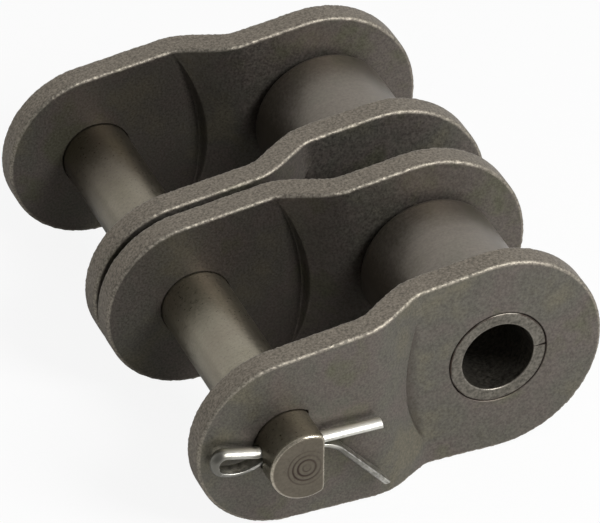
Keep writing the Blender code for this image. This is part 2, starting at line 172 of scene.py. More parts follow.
# The sheared rim: its rounding, the chips on its corners and the tears across its wall. Chips
# and the holes' waves are layers of noise, each with a size, a share and a shift from face to face.
RIM_SPACING = 0.15 * MM
RIM_ROUNDING = 0.30 * MM
RIM_TURN_STEPS = 6
RIM_WALL_STEPS = 8
RIM_CHIPS = ((0.30 * MM, 1.0, 0.004), (0.13 * MM, 0.6, 0.009))
CHIP_DEPTH = 0.036 * MM
RUBBED_FALL = 0.4
TEAR_WIDTH = 0.35 * MM
TEAR_LENGTH = 1.6 * MM
TEAR_DEPTH = 0.016 * MM
HOLE_WAVES = ((1.4 * MM, 1.0, 0.02), (0.4 * MM, 0.5, 0.05))
HOLE_WAVE_SHARE = 0.008


def directions(angles):
    """Unit directions in X and Z at those angles."""
    return np.stack([np.cos(angles), np.sin(angles)], axis=1)


def plate_outline():
    """Points round the blank and their outward directions, both in X and Z."""
    taper = math.asin((NARROW_RADIUS - WIDE_RADIUS) / PITCH)
    quarter = math.pi / 2
    places = []
    outwards = []
    ends = (
        (0.0, WIDE_RADIUS, quarter + taper, 3 * quarter - taper),
        (PITCH, NARROW_RADIUS, -quarter - taper, quarter + taper),
    )
    for centre, radius, start, stop in ends:
        count = round((stop - start) * radius / RIM_SPACING)
        outward = directions(np.linspace(start, stop, count + 1))
        places.append(outward * radius + (centre, 0.0))
        outwards.append(outward)
    for end, following in ((0, 1), (2, 0)):
        start = places[end][-1]
        stop = places[following][0]
        count = round(float(np.linalg.norm(stop - start)) / RIM_SPACING)
        steps = np.linspace(0.0, 1.0, count + 1)[1:-1, None]
        places.insert(end + 1, start + (stop - start) * steps)
        outwards.insert(end + 1, np.repeat(outwards[end][-1:], len(steps), axis=0))
    return np.concatenate(places), np.concatenate(outwards)


def hole_outline(centre, radius, flat=None):
    """Points round a hole in X and Z. A flat cuts it to a D that stands upright in the world."""
    half = 0.0 if flat is None else math.acos(flat / radius)
    start = half - TILT
    stop = 2 * math.pi - half - TILT
    ring = directions(np.linspace(start, stop, HOLE_POINTS, endpoint=flat is not None)) * radius
    ring += (centre, 0.0)
    if flat is None:
        return ring
    steps = np.linspace(0.0, 1.0, HOLE_FLAT_STEPS + 1)[1:-1, None]
    return np.concatenate([ring, ring[-1] + (ring[0] - ring[-1]) * steps])


def outside_by(points, loop):
    """How far each point lies outside a convex loop that runs anticlockwise."""
    along = np.roll(loop, -1, axis=0) - loop
    normal = np.stack([along[:, 1], -along[:, 0]], axis=1)
    normal /= np.linalg.norm(normal, axis=1, keepdims=True)
    return ((points[:, None, :] - loop[None, :, :]) * normal).sum(axis=2).max(axis=1)


# How far apart a face's points lie, and the rings of them beside each relief's wall. A half
# sweep is the angle that a relief's rings cover to each side of the plate's middle line.
FLAT_SPACING = 0.55 * MM
CRANK_SPACING = 0.16 * MM
ROW_SPACING = 0.42 * MM
CRANK_MARGIN = 1.2 * MM
EDGE_MARGIN = 0.16 * MM
BESIDE_RIM = 0.07 * MM
RELIEF_RINGS = np.arange(-0.28, 0.84, 0.056) * MM
RELIEF_RING_POINTS = 120
PIN_RELIEF_HALF_SWEEP = 0.50
BUSH_RELIEF_HALF_SWEEP = 0.82


def face_points(rim, holes):
    """Points over a face: close along the crank and its two reliefs, wider on the flats."""
    close_from = CRANK_START - CRANK_MARGIN
    close_to = CRANK_END + CRANK_MARGIN
    columns = [np.arange(-WIDE_RADIUS, close_from, FLAT_SPACING)]
    columns.append(np.arange(close_from, close_to, CRANK_SPACING))
    columns.append(np.arange(close_to, PITCH + NARROW_RADIUS, FLAT_SPACING))
    rows = np.arange(-NARROW_RADIUS, NARROW_RADIUS, ROW_SPACING)
    across, up = np.meshgrid(np.concatenate(columns), rows)
    up += np.arange(across.shape[1]) % 2 * (ROW_SPACING / 2)
    points = [np.stack([across.ravel(), up.ravel()], axis=1)]
    reliefs = (
        (PIN_RELIEF_CENTRE, PIN_RELIEF_RADIUS, 0.0, PIN_RELIEF_HALF_SWEEP),
        (BUSH_RELIEF_CENTRE, BUSH_RELIEF_RADIUS, math.pi, BUSH_RELIEF_HALF_SWEEP),
    )
    for centre, arc_radius, side, half in reliefs:
        arc = directions(np.linspace(side - half, side + half, RELIEF_RING_POINTS))
        for offset in RELIEF_RINGS:
            points.append(arc * (arc_radius + offset) + (centre, 0.0))
    points = np.concatenate(points)
    keep = outside_by(points, rim) < -EDGE_MARGIN
    for hole in holes:
        keep &= outside_by(points, hole) > EDGE_MARGIN
    return points[keep]


def add_band(bm, loops, shares):
    """Quads between closed loops of equal length, with each layer's share on each loop."""
    rings = [[bm.verts.new(point) for point in loop] for loop in loops]
    for name, values in shares.items():
        layer = bm.verts.layers.float[name]
        for ring, value in zip(rings, values):
            for vert in ring:
                vert[layer] = value
    for ring, following in zip(rings, rings[1:]):
        for i, corner in enumerate(ring):
            j = (i + 1) % len(ring)
            bm.faces.new((corner, ring[j], following[j], following[i]))


def uneven_at(x, z, side, layers):
    """Noise at a place on an edge. Its side, 1 or -1, keeps the two faces' edges unlike."""
    return sum(share * noise.noise(Vector((x, side * shift, z)) / size) for size, share, shift in layers)


def worn_rim(outline, outwards):
    """Loops from the outer face round the sheared rim to the inner face, with chipped corners.
    Each loop comes with its share of sheared surface and of rubbed corner."""
    loops = []
    sheared = []
    rubbed = []
    quarter = [step / RIM_TURN_STEPS * math.pi / 2 for step in range(RIM_TURN_STEPS + 1)]
    turns = [(turn, outer_face, -1) for turn in quarter]
    turns += [(turn, inner_face, 1) for turn in reversed(quarter)]
    for turn, face, side in turns:
        inset = RIM_ROUNDING * (1 - math.sin(turn))
        drop = RIM_ROUNDING * (1 - math.cos(turn))
        place = outline - outwards * inset
        height = face(place[:, 0], place[:, 1]) + side * drop
        corner = math.sin(2 * turn)
        for i, (x, z) in enumerate(place):
            bite = CHIP_DEPTH * corner * uneven_at(x, z, side, RIM_CHIPS)
            place[i] -= outwards[i] * bite
            height[i] += side * bite
        loops.append(np.stack([place[:, 0], height, place[:, 1]], axis=1))
        sheared.append(turn / (math.pi / 2))
        rubbed.append(corner**RUBBED_FALL)
    middle = len(loops) // 2
    first, last = loops[middle - 1], loops[middle]
    for step in range(1, RIM_WALL_STEPS):
        loop = first + (last - first) * step / RIM_WALL_STEPS
        for i, (x, y, z) in enumerate(loop):
            tear = noise.noise(Vector((x / TEAR_WIDTH, y / TEAR_LENGTH, z / TEAR_WIDTH))) * TEAR_DEPTH
            loop[i] -= Vector((outwards[i][0], 0.0, outwards[i][1])) * tear
        loops.insert(middle + step - 1, loop)
        sheared.insert(middle + step - 1, 1.0)
        rubbed.insert(middle + step - 1, 0.0)
    return loops, sheared, rubbed


def scene_object(name, data):
    """An object with that mesh, curve, lamp or lens, in the scene."""
    new = bpy.data.objects.new(name, data)
    bpy.context.scene.collection.objects.link(new)
    return new


def mesh_object(name, bm):
    """A finished bmesh becomes the mesh of an object in the scene."""
    mesh = bpy.data.meshes.new(name)
    bm.to_mesh(mesh)
    bm.free()
    return scene_object(name, mesh)


def finished_piece(name, bm, material, node, body, sharp=40):
    """A bmesh in the world's axes becomes the piece that stands for its CAD node."""
    piece = mesh_object(name, bm)
    piece.data.materials.append(material)
    piece.data.shade_smooth()
    piece.data.set_sharp_from_angle(angle=math.radians(sharp))
    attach(piece, body)
    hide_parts(node)


# The triangulation keeps what lies inside its outlines, and points this near, in mm, are one.
KEEP_INSIDE = 1
SAME_POINT = 1e-5
WELD_DISTANCE = 0.001 * MM
MOUTH_OIL = 0.3
BORE_OIL = 0.7


def side_plate(node, strand, outwards_y, flatted, material):
    """One cranked plate. outwards_y is 1 or -1, the side of its strand that it closes."""
    outline, outwards = plate_outline()
    flat = PIN_HOLE_FLAT if flatted else None
    wide_flat = flat + HOLE_CHAMFER if flatted else None
    pin_mouth = hole_outline(0.0, PIN_HOLE_RADIUS + HOLE_CHAMFER, wide_flat)
    pin_wall = hole_outline(0.0, PIN_HOLE_RADIUS, flat)
    bush_mouth = hole_outline(PITCH, BUSH_HOLE_RADIUS + HOLE_CHAMFER)
    bush_wall = hole_outline(PITCH, BUSH_HOLE_RADIUS)
    for loop in (bush_mouth, bush_wall):
        for i, (x, z) in enumerate(loop):
            uneven = uneven_at(x, z, outwards_y, HOLE_WAVES)
            loop[i] += (loop[i] - (PITCH, 0.0)) * uneven * HOLE_WAVE_SHARE
    rim_loops, sheared, rubbed = worn_rim(outline, outwards)

    bm = bmesh.new()
    for layer in ("sheared", "worn_corner", "oil_and_shade"):
        bm.verts.layers.float.new(layer)
    oil_and_shade = bm.verts.layers.float["oil_and_shade"]
    add_band(bm, rim_loops, {"sheared": sheared, "worn_corner": rubbed})
    for mouth, wall, outer, inner in (
        (pin_mouth, pin_wall, WIDE_OUTER, WIDE_INNER),
        (bush_mouth, bush_wall, NARROW_OUTER, NARROW_INNER),
    ):
        levels = (
            (mouth, inner),
            (wall, inner + HOLE_CHAMFER),
            (wall, outer - HOLE_CHAMFER),
            (mouth, outer),
        )
        loops = [np.insert(loop, 1, height, axis=1) for loop, height in levels]
        add_band(bm, loops, {"oil_and_shade": (MOUTH_OIL, BORE_OIL, BORE_OIL, MOUTH_OIL)})

    rim = outline - outwards * RIM_ROUNDING
    holes = (pin_mouth, bush_mouth)
    beside_rim = outline - outwards * (RIM_ROUNDING + BESIDE_RIM)
    points = np.concatenate([rim, *holes, beside_rim, face_points(rim, holes)])
    edges = []
    start = 0
    for loop in (rim, *holes):
        count = len(loop)
        edges += [(start + i, start + (i + 1) % count) for i in range(count)]
        start += count
    in_mm = [Vector(point) / MM for point in points]
    flat_mesh = delaunay_2d_cdt(in_mm, edges, [], KEEP_INSIDE, SAME_POINT)
    places = np.array([tuple(point) for point in flat_mesh[0]]) * MM
    triangles = np.array(flat_mesh[2])
    middles = places[triangles].mean(axis=1)
    solid = (outside_by(middles, pin_mouth) > 0) & (outside_by(middles, bush_mouth) > 0)
    across, up = places.T
    # Each face gets its share of painted shade: by the relief wall outside, where some oil sits too, and
    # over the inner face by the pin.
    for heights, oil_shade, faces_in in (
        (outer_face(across, up), shade_and_oil_by_wall(across, up), False),
        (inner_face(across, up), painted_inside_shade(across), True),
    ):
        verts = [bm.verts.new((x, y, z)) for (x, z), y in zip(places, heights)]
        for vert, share in zip(verts, oil_shade):
            vert[oil_and_shade] = share
        for triangle in triangles[solid]:
            corners = [verts[i] for i in triangle]
            bm.faces.new(corners if faces_in else corners[::-1])
    bmesh.ops.remove_doubles(bm, verts=bm.verts, dist=WELD_DISTANCE)
    loose = [vert for vert in bm.verts if not vert.link_faces]
    bmesh.ops.delete(bm, geom=loose, context="VERTS")
    if outwards_y < 0:
        bmesh.ops.scale(bm, vec=(1.0, -1.0, 1.0), verts=bm.verts)
    bmesh.ops.recalc_face_normals(bm, faces=bm.faces)
    bm.transform(strand_matrix(strand))
    finished_piece(node + "_steel", bm, material, node, strand + "_strand")


def add_node(tree, kind, inputs=None, **settings):
    """A node with its settings. Each input is a plain value, or the socket that feeds it."""
    new = tree.nodes.new(kind)
    for name, value in settings.items():
        setattr(new, name, value)
    for name, value in (inputs or {}).items():
        if isinstance(value, bpy.types.NodeSocket):
            tree.links.new(value, new.inputs[name])
        else:
            new.inputs[name].default_value = value
    return new


def shader_group(name, inputs, outputs):
    """A shader node group with number sockets, its input node and its output node."""
    group = bpy.data.node_groups.new(name, "ShaderNodeTree")
    for label, value in inputs.items():
        socket = group.interface.new_socket(label, in_out="INPUT", socket_type="NodeSocketFloat")
        socket.default_value = value
    for label in outputs:
        group.interface.new_socket(label, in_out="OUTPUT", socket_type="NodeSocketFloat")
    return group, group.nodes.new("NodeGroupInput"), group.nodes.new("NodeGroupOutput")


def math_node(tree, operation, first, second):
    """The result of a sum on two numbers or sockets."""
    return add_node(tree, "ShaderNodeMath", {0: first, 1: second}, operation=operation).outputs[0]


def noise_in_mm(tree, size, detail, stretch=(1.0, 1.0, 1.0)):
    """Noise on Object coordinates whose grains measure about that many millimetres."""
    place = add_node(tree, "ShaderNodeTexCoord").outputs["Object"]
    per_mm = [part / MM for part in stretch]
    scaled = add_node(tree, "ShaderNodeMapping", {"Vector": place, "Scale": per_mm})
    scale = math_node(tree, "DIVIDE", 1.0, size)
    grain = {"Vector": scaled.outputs["Vector"], "Scale": scale, "Detail": detail, "Roughness": 0.6}
    return add_node(tree, "ShaderNodeTexNoise", grain).outputs["Fac"]


# The grain that blasting and heat treatment leave, fine and coarse, and the slow mottling of
# the colour. Every piece shows them, the zinc too.
COARSE_TO_FINE = 2.7
steel_grain, given, result = shader_group(
    "steel_grain", {"Grain Size": 0.2, "Mottle Size": 6.0}, ("Grain", "Mottle", "Height")
)
coarse_size = math_node(steel_grain, "MULTIPLY", given.outputs["Grain Size"], COARSE_TO_FINE)
fine = noise_in_mm(steel_grain, given.outputs["Grain Size"], 2.0)
coarse = noise_in_mm(steel_grain, coarse_size, 1.0)
mottle = noise_in_mm(steel_grain, given.outputs["Mottle Size"], 3.0)
steel_grain.links.new(fine, result.inputs["Grain"])
steel_grain.links.new(mottle, result.inputs["Mottle"])
steel_grain.links.new(math_node(steel_grain, "ADD", fine, coarse), result.inputs["Height"])

# Bare metal on the corners that tumbling has rubbed, broken up along their length.
worn_edges, given, result = shader_group("worn_edges", {"Nick Size": 0.3, "Wear": 1.0}, ("Bare",))
corner = add_node(worn_edges, "ShaderNodeAttribute", attribute_name="worn_corner").outputs["Fac"]
nicks = noise_in_mm(worn_edges, given.outputs["Nick Size"], 2.0)
broken = add_node(
    worn_edges,
    "ShaderNodeMapRange",
    {"Value": nicks, "From Min": 0.36, "From Max": 0.62, "To Min": 0.22, "To Max": 1.0},
    interpolation_type="SMOOTHSTEP",
)
rubbed = math_node(worn_edges, "MULTIPLY", corner, broken.outputs["Result"])
rubbed = math_node(worn_edges, "MULTIPLY", rubbed, given.outputs["Wear"])
worn_edges.links.new(rubbed, result.inputs["Bare"])


def mixed_colour(tree, share, first, second):
    """The colour between two colours or colour sockets at that share."""
    inputs = {0: share, 6: first, 7: second}
    return add_node(tree, "ShaderNodeMix", inputs, data_type="RGBA").outputs[2]


def mapped(tree, value, low, high, from_min=0.3, from_max=0.7):
    """The value, held between from_min and from_max, spread from low to high."""
    inputs = {"Value": value, "From Min": from_min, "From Max": from_max, "To Min": low, "To Max": high}
    return add_node(tree, "ShaderNodeMapRange", inputs).outputs["Result"]


def varied(tree, colour, value, swing):
    """The colour, darker and lighter by that share as the noise goes from low to high."""
    shade = mapped(tree, value, 1 - swing, 1 + swing)
    return add_node(tree, "ShaderNodeVectorMath", {0: colour, "Scale": shade}, operation="SCALE").outputs[0]


def colour_between(tree, value, stops):
    """A colour ramp over the noise's usual range, which is 0.32 to 0.68."""
    ramp = add_node(tree, "ShaderNodeValToRGB", {"Fac": value})
    places = np.linspace(0.32, 0.68, len(stops))
    while len(ramp.color_ramp.elements) < len(stops):
        ramp.color_ramp.elements.new(0.5)
    for element, place, colour in zip(ramp.color_ramp.elements, places, stops):
        element.position = place
        element.color = (*colour, 1.0)
    return ramp.outputs["Color"]


# What the steels share: the brown of old oil, which also serves as painted shade, the mottle's size
# in mm, the grain's swing in roughness, and the roughness under which a rubbed corner is also polished.
OIL_AND_SHADE_COLOUR = (0.045, 0.031, 0.025, 1.0)
MOTTLE_SIZE = 6.0
ROUGHNESS_SWING = 0.06
POLISHED_BELOW = 0.5


def dark_steel(name, tones, grain_size, speckle, roughness, metallic, nick_size, wear, bare):
    """Hardened steel: mottled tones, a speckle, bare corners, and oil and painted shade from a layer. Gives
    what each finish adds to.
    """
    material = bpy.data.materials.new(name)
    material.use_nodes = True
    tree = material.node_tree
    shader = tree.nodes["Principled BSDF"]
    shader.inputs["Metallic"].default_value = metallic
    grain_sizes = {"Grain Size": grain_size, "Mottle Size": MOTTLE_SIZE}
    grain = add_node(tree, "ShaderNodeGroup", grain_sizes, node_tree=steel_grain)
    worn = add_node(tree, "ShaderNodeGroup", {"Nick Size": nick_size, "Wear": wear}, node_tree=worn_edges)
    toned = colour_between(tree, grain.outputs["Mottle"], tones)
    speckled = varied(tree, toned, grain.outputs["Grain"], speckle)
    colour = mixed_colour(tree, worn.outputs["Bare"], speckled, (*bare, 1.0))
    # A vertex layer darkens the colour towards the oil's brown: real oil in some places, painted shade in
    # others.
    oil_and_shade = add_node(tree, "ShaderNodeAttribute", attribute_name="oil_and_shade").outputs["Fac"]
    colour = mixed_colour(tree, oil_and_shade, colour, OIL_AND_SHADE_COLOUR)
    dullest = roughness + ROUGHNESS_SWING
    dull = mapped(tree, grain.outputs["Grain"], roughness - ROUGHNESS_SWING, dullest)
    polish = mapped(tree, worn.outputs["Bare"], 0.0, max(POLISHED_BELOW - roughness, 0.0), 0.0, 1.0)
    tree.links.new(colour, shader.inputs["Base Color"])
    tree.links.new(math_node(tree, "SUBTRACT", dull, polish), shader.inputs["Roughness"])
    return material, tree, shader, grain, worn, colour


def add_bump(tree, shader, height, depth):
    """Relief of that depth in metres where the height goes from 0 to 1."""
    bump = add_node(tree, "ShaderNodeBump", {"Height": height, "Distance": depth, "Strength": 1.0})
    tree.links.new(bump.outputs["Normal"], shader.inputs["Normal"])


# Between its rubbed corners the sheared rim is torn metal, paler and rougher than the faces.
TORN_COLOUR = (0.192, 0.168, 0.136)
TORN_SPECKLE = 0.42
TORN_RELIEF = 1.1
PLATE_GRAIN_DEPTH = 0.006 * MM
plate_steel, tree, shader, grain, worn, colour = dark_steel(
    "plate_steel",
    tones=((0.131, 0.126, 0.092), (0.147, 0.128, 0.113), (0.136, 0.128, 0.108), (0.160, 0.147, 0.112)),
    grain_size=0.19,
    speckle=0.28,
    roughness=0.54,
    metallic=0.90,
    nick_size=0.20,
    wear=1.0,
    bare=(0.31, 0.28, 0.23),
)
sheared = add_node(tree, "ShaderNodeAttribute", attribute_name="sheared").outputs["Fac"]
tear_sizes = {"Grain Size": 0.20, "Mottle Size": 2.0}
tear_grain = add_node(tree, "ShaderNodeGroup", tear_sizes, node_tree=steel_grain)
torn = varied(tree, TORN_COLOUR, tear_grain.outputs["Grain"], TORN_SPECKLE)
unrubbed = math_node(tree, "SUBTRACT", 1.0, worn.outputs["Bare"])
rim_share = math_node(tree, "MULTIPLY", sheared, unrubbed)
tree.links.new(mixed_colour(tree, rim_share, colour, torn), shader.inputs["Base Color"])
tear_share = math_node(tree, "MULTIPLY", sheared, TORN_RELIEF)
tear_height = math_node(tree, "MULTIPLY", tear_grain.outputs["Height"], tear_share)
plate_height = math_node(tree, "ADD", grain.outputs["Height"], tear_height)
add_bump(tree, shader, plate_height, PLATE_GRAIN_DEPTH)

side_plate("front_outer_plate", "front", outwards_y=-1, flatted=True, material=plate_steel)
side_plate("front_middle_plate", "front", outwards_y=1, flatted=False, material=plate_steel)
side_plate("rear_middle_plate", "rear", outwards_y=-1, flatted=False, material=plate_steel)
side_plate("rear_outer_plate", "rear", outwards_y=1, flatted=False, material=plate_steel)

# Bushes and rollers: each bush is curled from strip, case-hardened and pressed into the narrow
# ends of two plates, so its seam stays as a fine slit. The roller is turned or drawn, hardened
# and tumbled to a satin, and spins freely on the bush between the plates.
BUSH_BORE_RADIUS = 3.10 * MM
BUSH_EDGE = 0.14 * MM
BUSH_SEAM = 0.12 * MM
ROLLER_BORE_RADIUS = 4.28 * MM
ROLLER_END_ROUNDING = 1.0 * MM
ROLLER_BORE_EDGE = 0.30 * MM
RING_STEPS = 144
RING_EDGE_STEPS = 8


def geometry_tree(name, inputs):
    """A geometry node tree with its input sockets by name, its input node and output node."""
    tree = bpy.data.node_groups.new(name, "GeometryNodeTree")
    sockets = {}
    for label, kind in inputs.items():
        sockets[label] = tree.interface.new_socket(label, in_out="INPUT", socket_type="NodeSocket" + kind)
    tree.interface.new_socket("Geometry", in_out="OUTPUT", socket_type="NodeSocketGeometry")
    return tree, sockets, tree.nodes.new("NodeGroupInput"), tree.nodes.new("NodeGroupOutput")


def sweep(tree, path, section, material, result):
    """Ends a tree: the section swept along the path, with closed ends, real and of that material."""
    inputs = {"Curve": path.outputs[0], "Profile Curve": section.outputs[0], "Fill Caps": True}
    swept = add_node(tree, "GeometryNodeCurveToMesh", inputs)
    real = add_node(tree, "GeometryNodeRealizeInstances", {0: swept.outputs[0]})
    inputs = {"Geometry": real.outputs[0], "Material": material}
    surfaced = add_node(tree, "GeometryNodeSetMaterial", inputs)
    tree.links.new(surfaced.outputs[0], result.inputs[0])


# A ring of steel about +Z: a rectangle with filleted corners, swept round a circle, or round an
# arc that stops short of a circle by the seam.
RING_SIZES = ("Bore Radius", "Outside Radius", "Length", "Bore Edge", "Outside Edge", "Seam")
turned_ring, ring_sockets, given, result = geometry_tree(
    "turned_ring", {**{size: "Float" for size in RING_SIZES}, "Steel": "Material"}
)
bore_radius = given.outputs["Bore Radius"]
outside_radius = given.outputs["Outside Radius"]
seam_width = given.outputs["Seam"]
wall = math_node(turned_ring, "SUBTRACT", outside_radius, bore_radius)
both_radii = math_node(turned_ring, "ADD", outside_radius, bore_radius)
middle_radius = math_node(turned_ring, "MULTIPLY", both_radii, 0.5)
section = add_node(
    turned_ring,
    "GeometryNodeCurvePrimitiveQuadrilateral",
    {"Width": wall, "Height": given.outputs["Length"]},
    mode="RECTANGLE",
)
section_point = add_node(turned_ring, "GeometryNodeInputPosition").outputs[0]
along_wall = add_node(turned_ring, "ShaderNodeSeparateXYZ", {0: section_point}).outputs["X"]
on_outside = add_node(turned_ring, "FunctionNodeCompare", {0: along_wall, 1: 0.0}, operation="GREATER_THAN")
corner_radius = add_node(
    turned_ring,
    "GeometryNodeSwitch",
    {
        "Switch": on_outside.outputs[0],
        "False": given.outputs["Bore Edge"],
        "True": given.outputs["Outside Edge"],
    },
    input_type="FLOAT",
)
rounded = add_node(
    turned_ring,
    "GeometryNodeFilletCurve",
    {"Curve": section.outputs[0], "Count": RING_EDGE_STEPS, "Radius": corner_radius.outputs[0]},
    mode="POLY",
)
seam_angle = math_node(turned_ring, "DIVIDE", seam_width, outside_radius)
curled = add_node(
    turned_ring,
    "GeometryNodeCurveArc",
    {
        "Resolution": RING_STEPS + 1,
        "Radius": middle_radius,
        "Start Angle": math_node(turned_ring, "MULTIPLY", seam_angle, 0.5),
        "Sweep Angle": math_node(turned_ring, "SUBTRACT", 2 * math.pi, seam_angle),
    },
)
closed = add_node(
    turned_ring,
    "GeometryNodeCurvePrimitiveCircle",
    {"Resolution": RING_STEPS, "Radius": middle_radius},
)
has_seam = add_node(turned_ring, "FunctionNodeCompare", {0: seam_width, 1: 0.0}, operation="GREATER_THAN")
round_path = add_node(
    turned_ring,
    "GeometryNodeSwitch",
    {"Switch": has_seam.outputs[0], "False": closed.outputs[0], "True": curled.outputs[0]},
    input_type="GEOMETRY",
)
sweep(turned_ring, round_path, rounded, given.outputs["Steel"], result)


def mesh_from_tree(name, tree, sockets, values, base=None):
    """The mesh that a geometry node tree gives for those inputs, as a bmesh."""
    holder = scene_object(name, base or bpy.data.meshes.new(name))
    modifier = holder.modifiers.new("shape", "NODES")
    modifier.node_group = tree
    for label, value in values.items():
        modifier[sockets[label].identifier] = value
    shaped = holder.evaluated_get(bpy.context.evaluated_depsgraph_get())
    mesh = bpy.data.meshes.new_from_object(shaped)
    holder.modifiers.remove(modifier)
    bpy.data.objects.remove(holder)
    bm = bmesh.new()
    bm.from_mesh(mesh)
    bpy.data.meshes.remove(mesh)
    return bm


# A corner counts as worn from the first angle between its faces, in degrees, and fully at the
# second. Oil sits in patches on a bush's edges and in its seam.
WORN_FROM = 5.0
WORN_FULLY = 13.0
OIL_PATCH_SIZE = 0.9 * MM
OIL_MEAN = 0.55
OIL_SWING = 1.1
OIL_LEAST = 0.1
OIL_MOST = 0.9
SEAM_OIL_ANGLE = 0.02


def mark_worn_corners(bm):
    """Stores at each vertex how sharply the surface turns outwards there: 1 on a worn corner."""
    worn = bm.verts.layers.float.new("worn_corner")
    bm.normal_update()
    for vert in bm.verts:
        turns = [edge.calc_face_angle_signed(0.0) for edge in vert.link_edges]
        sharpest = math.degrees(max(turns, default=0.0))
        vert[worn] = min(max((sharpest - WORN_FROM) / (WORN_FULLY - WORN_FROM), 0.0), 1.0)


def ring_on_bush_axis(node, strand, body, material, bore, bore_edge, outside_edge, seam):
    """A bush or a roller in the place of its node, its seam towards the narrow end."""
    low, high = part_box(node)
    outside = (high.z - low.z) / 2
    sizes = (bore, outside, high.y - low.y, bore_edge, outside_edge, seam)
    values = {**dict(zip(RING_SIZES, sizes)), "Steel": material}
    bm = mesh_from_tree(node, turned_ring, ring_sockets, values)
    bmesh.ops.remove_doubles(bm, verts=bm.verts, dist=WELD_DISTANCE)
    bmesh.ops.recalc_face_normals(bm, faces=bm.faces)
    oil_and_shade = bm.verts.layers.float.new("oil_and_shade")
    for vert in bm.verts:
        at_edge = math.hypot(vert.co.x, vert.co.y) > outside - 0.9 * outside_edge
        at_seam = abs(math.atan2(vert.co.y, vert.co.x)) < SEAM_OIL_ANGLE
        if seam and (at_edge or at_seam):
            patchy = OIL_MEAN + OIL_SWING * noise.noise(vert.co / OIL_PATCH_SIZE)
            vert[oil_and_shade] = min(max(patchy, OIL_LEAST), OIL_MOST)
    lie_along_y = Matrix.Rotation(math.radians(-90), 4, "X")
    bm.transform(Matrix.Translation(BUSH_AXES[strand]) @ Matrix.Rotation(-TILT, 4, "Y") @ lie_along_y)
    mark_worn_corners(bm)
    finished_piece(node + "_steel", bm, material, node, body)


# The lathe and the centreless grinder leave fine lines round a piece, seen on anything turned.
ALONG_LINES = 0.03
turned_lines, given, result = shader_group("turned_lines", {"Line Width": 0.08}, ("Line",))
line = noise_in_mm(turned_lines, given.outputs["Line Width"], 2.0, (ALONG_LINES, 1.0, ALONG_LINES))
turned_lines.links.new(line, result.inputs["Line"])


def turned_steel(name, tones, grain_size, speckle, roughness, line_width, line_share, wear, bare, depth):
    """Dark steel with the lines of turning round it."""
    material, tree, shader, grain, worn, colour = dark_steel(
        name, tones, grain_size, speckle, roughness, metallic=0.95, nick_size=0.35, wear=wear, bare=bare
    )
    lines = add_node(tree, "ShaderNodeGroup", {"Line Width": line_width}, node_tree=turned_lines)
    streaked = varied(tree, colour, lines.outputs["Line"], line_share)
    tree.links.new(streaked, shader.inputs["Base Color"])
    height = math_node(tree, "ADD", grain.outputs["Height"], lines.outputs["Line"])
    add_bump(tree, shader, height, depth)
    return material


bush_steel = turned_steel(
    "bush_steel",
    tones=((0.135, 0.124, 0.103), (0.152, 0.140, 0.118), (0.145, 0.132, 0.113)),
    grain_size=0.26,
    speckle=0.46,
    roughness=0.42,
    line_width=0.10,
    line_share=0.05,
    wear=0.4,
    bare=(0.36, 0.33, 0.29),
    depth=0.004 * MM,
)
roller_steel = turned_steel(
    "roller_steel",
    tones=((0.182, 0.164, 0.136), (0.200, 0.178, 0.152), (0.190, 0.174, 0.146)),
    grain_size=0.24,
    speckle=0.14,
    roughness=0.38,
    line_width=0.12,
    line_share=0.05,
    wear=0.0,
    bare=(0.40, 0.37, 0.33),
    depth=0.002 * MM,
)
for strand in ("front", "rear"):
    ring_on_bush_axis(
        strand + "_bush",
        strand,
        body=strand + "_strand",
        material=bush_steel,
        bore=BUSH_BORE_RADIUS,
        bore_edge=BUSH_EDGE,
        outside_edge=BUSH_EDGE,
        seam=BUSH_SEAM,
    )
    ring_on_bush_axis(
        strand + "_roller",
        strand,
        body=strand + "_roller",
        material=roller_steel,
        bore=ROLLER_BORE_RADIUS,
        bore_edge=ROLLER_BORE_EDGE,
        outside_edge=ROLLER_END_ROUNDING,
        seam=0.0,
    )

# Link pin: one ground bar of alloy steel through all four wide ends. Its front end is milled
# flat to sit in the outer plate's D hole, faced off in the lathe and cross-drilled for the
# split pin. A low head, forged on the rear end, stops it against the last plate.
PIN_RADIUS = 3.00 * MM
PIN_FLAT = 1.56 * MM
PIN_FLAT_CORNER = 0.45 * MM
PIN_FLAT_PAST_PLATE = 0.40 * MM
PIN_EDGE = 0.24 * MM
PIN_EDGE_STEPS = 6
PIN_STEPS = 192
PIN_FLATTED_RINGS = 9
PIN_ROUND_RINGS = 40
pin_low, pin_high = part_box("link_pin")
PIN_HEAD_RADIUS = (pin_high.z - pin_low.z) / 2
PIN_HEAD_THICKNESS = 1.35 * MM
PIN_HEAD_ROUNDING = 0.40 * MM
PIN_HEAD_STEPS = 8
PIN_HEAD_CHAMFER = 0.08 * MM
split_low, split_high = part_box("split_pin")
SPLIT_PIN_Y = (split_low.y + split_high.y) / 2
CROSS_HOLE_RADIUS = 0.95 * MM
CROSS_DRILL_LENGTH = 10 * MM
CROSS_DRILL_STEPS = 64

# The head's end is dished a little towards its middle, by these depths at these radii.
PIN_HEAD_DISH = (
    (2.6 * MM, 0.0),
    (1.5 * MM, 0.0),
    (1.3 * MM, 0.05 * MM),
    (0.9 * MM, 0.10 * MM),
    (0.05 * MM, 0.12 * MM),
)

# The faced end: ring marks, each with its radius, half width and greatest depth, the angle at
# which it is deepest and the share of its depth that it loses opposite. Oil sits in them.
FACE_GROOVES = (
    (0.34 * MM, 0.12 * MM, 0.028 * MM, 4.2, 0.8),
    (0.76 * MM, 0.17 * MM, 0.042 * MM, 3.4, 0.3),
    (1.18 * MM, 0.15 * MM, 0.040 * MM, 3.7, 0.7),
    (1.58 * MM, 0.12 * MM, 0.026 * MM, 3.2, 0.9),
)
GROOVE_FULL_OF_OIL = 0.040 * MM
FACE_START = 0.03 * MM
FACE_ROUND_TO = 1.30 * MM
FACE_RING_SPACING = 0.0165 * MM
FACE_OUTER_RINGS = 40
FACE_OUTER_REACH = 0.96
FACE_OIL = 0.56
